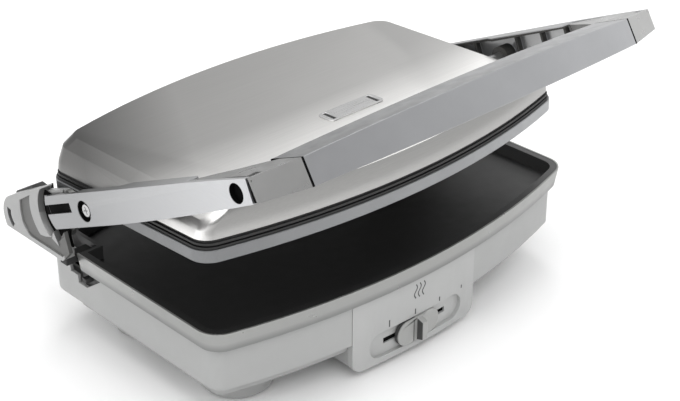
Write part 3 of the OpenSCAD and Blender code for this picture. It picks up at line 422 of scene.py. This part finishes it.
def turned_x(bm, profile, y, z, place, n=48):
    """A ring round the X axis line at (y, z), from a closed profile in (x, radius)."""
    rings = []
    for i in range(n):
        a = 2 * math.pi * i / n
        rings.append([bm.verts.new(place(x, y + r * math.cos(a), z + r * math.sin(a)))
                      for x, r in profile])
    m = len(profile)
    for i in range(n):
        a, b = rings[i], rings[(i + 1) % n]
        for k in range(m):
            l = (k + 1) % m
            bm.faces.new((a[k], b[k], b[l], a[l]))


def arc(cy, cz, r, a0, a1, n):
    """Points on an arc in (y, z), angles in degrees."""
    return [(cy + r * math.cos(math.radians(a0 + (a1 - a0) * i / n)),
             cz + r * math.sin(math.radians(a0 + (a1 - a0) * i / n))) for i in range(n + 1)]


def coating_painted_sheen():
    """The lower plate's coating, with a painted sheen that grows towards its right rear."""
    m = Mat("coating_painted_sheen", grey(0.016), 0.43)
    # Painted sheen: lighter towards the right rear
    rear = m.span(m.along((0.8, 0.6, 0.0)), 0, 1, 0.04, 0.2)
    m.paint(m.mix(rear, grey(0.012), grey(0.13)))
    m.roughen(m.noise(90, 3), 0.40, 0.48)
    m.bump(m.noise(1500, 2), 0.00006, 0.4)
    return m.m


def lower_band_painted_shade():
    """The lower band with painted shade along its foot, where it turns in to the housing."""
    m = Mat("lower_band_painted_shade", grey(0.315, 0.318, 0.31), 0.32, 0.7)
    # Painted shade: darker towards the band's foot
    height = m.span(m.axis("Z"), 0, 1, 0.0665, 0.0715)
    m.paint(m.mix(height, grey(0.225, 0.228, 0.225), grey(0.325, 0.328, 0.32)))
    m.roughen(m.noise(90, 3), 0.27, 0.38)
    return m.m


# Painted sheen on the lower plate
PIECE["lower_plate"].data.materials[0] = coating_painted_sheen()
# Painted shade along the lower band's foot
PIECE["lower_rim_band"].data.materials[0] = lower_band_painted_shade()
# The upper band carries painted light, darker on the left and lighter on the right, and a painted ceiling
# reflection
PIECE["upper_rim_band"].data.materials[0] = painted_light_metal("band_metal", grey(0.26, 0.264, 0.27),
                                                   0.34, 0.7, 0.75, 1.25)
INK = moulded("ink", grey(0.06), 0.6, 900)
# Near black with little specular: painted shade for gaps, hollows, slots and the niche
PAINTED_SHADE = cast("painted_shade_black", grey(0.003), 0.8, 0.0)
PAINTED_SHADE.node_tree.nodes["Principled BSDF"].inputs["Specular IOR Level"].default_value = 0.05
RECESS = cast("recess_grey", grey(0.115, 0.115, 0.112), 0.5, 0.2)
KNOB_DARK = moulded("knob_shadow_side", grey(0.05), 0.5)

# Marks on the fascia's bowed face: four marks of falling height and three heat waves
FACE_R, FACE_C = 592.57 - 7 + 0.4, 474.57


def ribbon(bm, pts, width):
    """A thin raised line along points in (x, z) on the fascia's face."""
    rows = []
    for i, (x, z) in enumerate(pts):
        a, b = pts[max(0, i - 1)], pts[min(len(pts) - 1, i + 1)]
        dx, dz = b[0] - a[0], b[1] - a[1]
        k = width / 2 / math.hypot(dx, dz)
        row = []
        for s in (-1, 1):
            for lift in (0.07, -0.12):
                px, pz = x - s * dz * k, z + s * dx * k
                py = FACE_C - math.sqrt((FACE_R + lift) ** 2 - px * px)
                row.append(bm.verts.new(at_base(px, py, pz)))
        rows.append(row)
    for a, b in zip(rows, rows[1:]):
        for p, q in ((0, 1), (1, 3), (3, 2), (2, 0)):
            bm.faces.new((a[p], b[p], b[q], a[q]))
    for r in (rows[0], rows[-1]):
        bm.faces.new((r[0], r[1], r[3], r[2]))


bm = bmesh.new()
MARK_FOOT, MARK_W = 33.1, 1.15
WAVE_FOOT, WAVE_H, WAVE_W, WAVE_STEPS = 46.3, 11.7, 0.95, 18
for x, top in ((-34.8, 38.8), (-9.25, 37.7), (16.3, 36.7), (41.1, 35.8)):
    ribbon(bm, [(x, MARK_FOOT + (top - MARK_FOOT) * i / 3) for i in range(4)], MARK_W)
for x in (-8.3, -4.4, -0.2):
    wave = []
    for t in range(WAVE_STEPS + 1):
        sway = 1.2 * math.sin(math.pi * (t - 9.5) / 8) + 0.1 * (t - 9.5) / 2
        wave.append((x - 0.95 + sway, WAVE_FOOT + WAVE_H * t / WAVE_STEPS))
    ribbon(bm, wave, WAVE_W)
finish_piece("panel_marks", bm, "base", INK)

# Painted shade on the left side of the slider's ridge, in the groove beside it and on the left wing's side
bm = bmesh.new()
RIDGE_X = KNOB_X - 2.6
prism_x(bm, [(KNOB_Y - 3.9, KNOB_Z - 9.2), (KNOB_Y - 9.8, KNOB_Z - 7.2),
             (KNOB_Y - 9.8, KNOB_Z + 7.2), (KNOB_Y - 3.9, KNOB_Z + 9.2)],
        RIDGE_X - 0.12, RIDGE_X + 0.1, at_base)
prism_x(bm, [(KNOB_Y - 4.0, KNOB_Z - 8.9), (KNOB_Y - 4.28, KNOB_Z - 8.9),
             (KNOB_Y - 4.28, KNOB_Z + 9.2), (KNOB_Y - 4.0, KNOB_Z + 9.2)],
        KNOB_X - 6.2, KNOB_X - 5.4, at_base)
WING_R, WING_END = 10.12, KNOB_X - 12
ring = arc(WING_END, KNOB_Z, WING_R, 90, 270, 18)
ring += [(KNOB_X - 4, KNOB_Z - WING_R), (KNOB_X - 4, KNOB_Z + WING_R)]
# Narrowed a little more than the knob itself, so that it stays within the wing
ring = [(KNOB_X + (x - KNOB_X) * 0.979, z) for x, z in ring]
low = [bm.verts.new(at_base(x, KNOB_Y - 0.15, z)) for x, z in ring]
top = [bm.verts.new(at_base(x, KNOB_Y - 2.9, z)) for x, z in ring]
for i in range(len(ring)):
    j = (i + 1) % len(ring)
    bm.faces.new((low[i], low[j], top[j], top[i]))
bm.faces.new(low)
bm.faces.new(list(reversed(top)))
finish_piece("slider_shadow_groove", bm, "slider", KNOB_DARK)

# Black strip that the slider carries behind the slot, as painted shade in the slot
bm = bmesh.new()
prism_x(bm, [(-106.3, 17.4), (-105.9, 17.4), (-105.9, 24.6), (-106.3, 24.6)],
        KNOB_X - 33, KNOB_X + 33, at_base)
finish_piece("slot_shade_strip", bm, "slider", PAINTED_SHADE)

def link_tip():
    """The link's metal, with the sunk field's darker tone on its tip."""
    metal = grey(0.35, 0.352, 0.35)
    m = Mat("link_tip", metal, 0.4, 0.7)
    front = m.span(m.axis("Y"), 1, 0, (PLATE + 58.5) / 1000, (PLATE + 60) / 1000)
    high = m.span(m.axis("Z"), 0, 1, 0.0795, 0.0805)
    m.paint(m.mix(m.calc("MULTIPLY", front, high), metal, grey(0.115, 0.115, 0.112)))
    m.roughen(m.noise(90, 3), 0.34, 0.46)
    m.bump(m.noise(900, 2), 0.00003, 0.4)
    return m.m


TIP = link_tip()
for tag in ("left", "right"):
    PIECE["hinge_link_" + tag].data.materials[0] = TIP

# How far out each inlay of links and arms lies, from and to, in mm
FIELD_X, COLLAR_X, LOBE_X = (189.3, 189.75), (185.32, 186.1), (186.2, 186.6)
SLOT_X, LEDGE_X, SEAM_X = (188.3, 188.75), (188.35, 188.8), (180.6, 189.8)
# The sunk field of a link, in (y, z)
FIELD = [(112.1, 107.3), (112.7, 98.2), (111.3, 89.8), (106.3, 82.9), (101.8, 81.3),
         (61.8, 80.9), (54.4, 87.6), (57.6, 100.9), (67, 90.6), (75.4, 91.8), (81.9, 89.4)]
FIELD += arc(72.5, 109.3, 26.2, -53, 17, 12)
# Painted shade lining the arm's screw recess and front hole, in (x, radius)
RECESS_LINING = [(187.5, 5.6), (187.85, 5.6), (187.95, 7.4), (190.6, 7.45), (190.6, 7.85),
                 (187.5, 7.85)]
HOLE_LINING = [(187.1, 0.3), (187.5, 0.3), (187.6, 6.3), (190.7, 6.35), (190.7, 6.62),
               (187.1, 6.62)]


def inlay(bm, outline, side, reach, place):
    prism_x(bm, outline, side * reach[0], side * reach[1], place)


def lining(bm, profile, side, y, z):
    turned_x(bm, [(side * x, r) for x, r in profile], y, z, at_arm)


for side, tag in ((-1, "left"), (1, "right")):
    bm = bmesh.new()
    inlay(bm, FIELD, side, FIELD_X, at_base)
    finish_piece("link_field_" + tag, bm, "links", RECESS)
    # Painted shade in the gap between the arm's round end and the collar, and on the back of the slot in the rear
    # lobe
    bm = bmesh.new()
    inlay(bm, arc(63, 113, 24.2, -112, 28, 28) + arc(58, 119.5, 12.7, 20, -88, 20),
          side, COLLAR_X, at_base)
    inlay(bm, arc(116, 91, 15.1, -68, 30, 14) + arc(116, 91, 10.0, 30, -68, 14),
          side, LOBE_X, at_base)
    finish_piece("collar_gap_" + tag, bm, "links", PAINTED_SHADE)
    # Painted shade on the floors of the arm's slot, screw recess and front hole, and on the ledge of its round end
    bm = bmesh.new()
    inlay(bm, [(-14.9, -1.4), (18.5, -1.4), (18.5, 5.4), (-14.9, 5.4)], side, SLOT_X, at_arm)
    inlay(bm, arc(0, 0, 23.3, -30, 29, 16) + arc(0, 0, 19.9, 34.5, -36, 16),
          side, LEDGE_X, at_arm)
    lining(bm, RECESS_LINING, side, -32, -1.5)
    lining(bm, HOLE_LINING, side, -213.8, 1)
    # Painted shade in the seam between arm and corner
    inlay(bm, [(-226.9, -6.3), (-230.4, -6.0), (-230.4, 7.6), (-226.9, 8.4)],
          side, SEAM_X, at_arm)
    finish_piece("arm_hollows_" + tag, bm, "arms", PAINTED_SHADE)

# Painted shade in the seams between bar and corners: a black fill cut from the bar's own end, in m
SEAM_CUT, SEAM_IN, SEAM_OUT = 0.1546, 0.1547, 0.1563
bm = bmesh.new()
bm.from_mesh(NODES["handle_bar"].data)
bmesh.ops.remove_doubles(bm, verts=bm.verts, dist=1e-6)
both = bmesh.new()
for side in (-1, 1):
    part = bm.copy()
    bmesh.ops.bisect_plane(part, geom=part.verts[:] + part.edges[:] + part.faces[:], dist=1e-7,
                           plane_co=(side * SEAM_CUT, 0, 0), plane_no=(-side, 0, 0),
                           clear_outer=True)
    bmesh.ops.holes_fill(part, edges=[e for e in part.edges if e.is_boundary])
    bmesh.ops.recalc_face_normals(part, faces=part.faces)
    part.normal_update()
    for v in part.verts:
        v.co -= Vector((0, v.normal.y, v.normal.z)) * 0.00003
        v.co.x = side * (SEAM_IN if abs(v.co.x) < 0.155 else SEAM_OUT)
    me = bpy.data.meshes.new("seam")
    part.to_mesh(me)
    part.free()
    both.from_mesh(me)
    bpy.data.meshes.remove(me)
bm.free()
finish_piece("bar_seams", both, "arms", PAINTED_SHADE)

# Painted shade on the back of the height clip's niche
bm = bmesh.new()
prism_x(bm, [(38, 44.4), (100, 44.4), (100, 62), (38, 62)], -161.2, -160.6, at_base)
finish_piece("niche_back", bm, "base", PAINTED_SHADE)

# Stage, light and camera

bpy.ops.mesh.primitive_plane_add(size=30, location=(0, 0, -0.0002))
floor = bpy.context.object
floor.name = "floor"
fm = Mat("floor_paper", grey(0.96), 0.9)
fm.tint(fm.noise(3, 2), 0.004)
floor.data.materials.append(fm.m)

world = bpy.data.worlds.new("studio")
bpy.context.scene.world = world
world.use_nodes = True
bg = world.node_tree.nodes["Background"]
wt = world.node_tree
# A pale room with a dim side towards the rear, which the lid's brushed cover mirrors
way = wt.nodes.new("ShaderNodeTexCoord")
dot = wt.nodes.new("ShaderNodeVectorMath")
dot.operation = "DOT_PRODUCT"
dot.inputs[1].default_value = (0.3, 0.86, 0.41)
wt.links.new(way.outputs["Generated"], dot.inputs[0])
ramp = wt.nodes.new("ShaderNodeMapRange")
ramp.interpolation_type = "SMOOTHSTEP"
ramp.inputs["From Min"].default_value = 0.78
ramp.inputs["From Max"].default_value = 1.0
ramp.inputs["To Min"].default_value = 0.92
ramp.inputs["To Max"].default_value = 0.4
wt.links.new(dot.outputs["Value"], ramp.inputs["Value"])
bg.inputs[0].default_value = (1, 1, 1, 1)
wt.links.new(ramp.outputs["Result"], bg.inputs[1])


def area(name, pos, aim, size, power):
    """A square area light that looks at a point."""
    d = bpy.data.lights.new(name, "AREA")
    d.energy = power
    d.size = size
    o = bpy.data.objects.new(name, d)
    bpy.context.scene.collection.objects.link(o)
    o.location = pos
    o.rotation_euler = (Vector(aim) - Vector(pos)).to_track_quat("-Z", "Y").to_euler()


area("key", (-0.5, -1.1, 1.9), (0, 0, 0.05), 1.6, 14)
area("fill", (-2.0, 0.2, 1.0), (0, 0, 0.08), 1.4, 5)
area("top", (-0.1, 0.0, 2.3), (0, 0, 0.1), 1.8, 12)
area("sheen", (1.15, 1.15, 2.1), (-0.08, -0.05, 0.17), 0.9, 10)
area("side", (2.2, 0.9, 1.0), (0, 0, 0.15), 1.2, 1.5)

# The camera's focal length in pixels and its axes, fitted to the photo's edges and corners
FOCAL_PX, PHOTO_W, SENSOR_MM = 1527.28, 680, 36
RIGHT = Vector((0.72560786, -0.68810672, -0.001545))
UP = Vector((0.33180112, 0.34791517, 0.87684836))
FWD = Vector((0.60282771, 0.63676069, -0.48076456))
# It was fitted in a frame whose y = 0 lies 25 mm in front of the plates' middle
CAM = Vector((-0.68737641, -0.77355263 + 0.025 + PLATE / 1000, 0.63609073))

cam_data = bpy.data.cameras.new("camera")
cam = bpy.data.objects.new("camera", cam_data)
bpy.context.scene.collection.objects.link(cam)
bpy.context.scene.camera = cam
cam_data.sensor_width = SENSOR_MM
cam_data.lens = SENSOR_MM * FOCAL_PX / PHOTO_W
cam_data.clip_end = 60
cam.matrix_world = Matrix((
    (RIGHT.x, UP.x, -FWD.x, CAM.x),
    (RIGHT.y, UP.y, -FWD.y, CAM.y),
    (RIGHT.z, UP.z, -FWD.z, CAM.z),
    (0, 0, 0, 1)))

scene = bpy.context.scene
scene.view_settings.view_transform = "Standard"
scene.view_settings.look = "None"
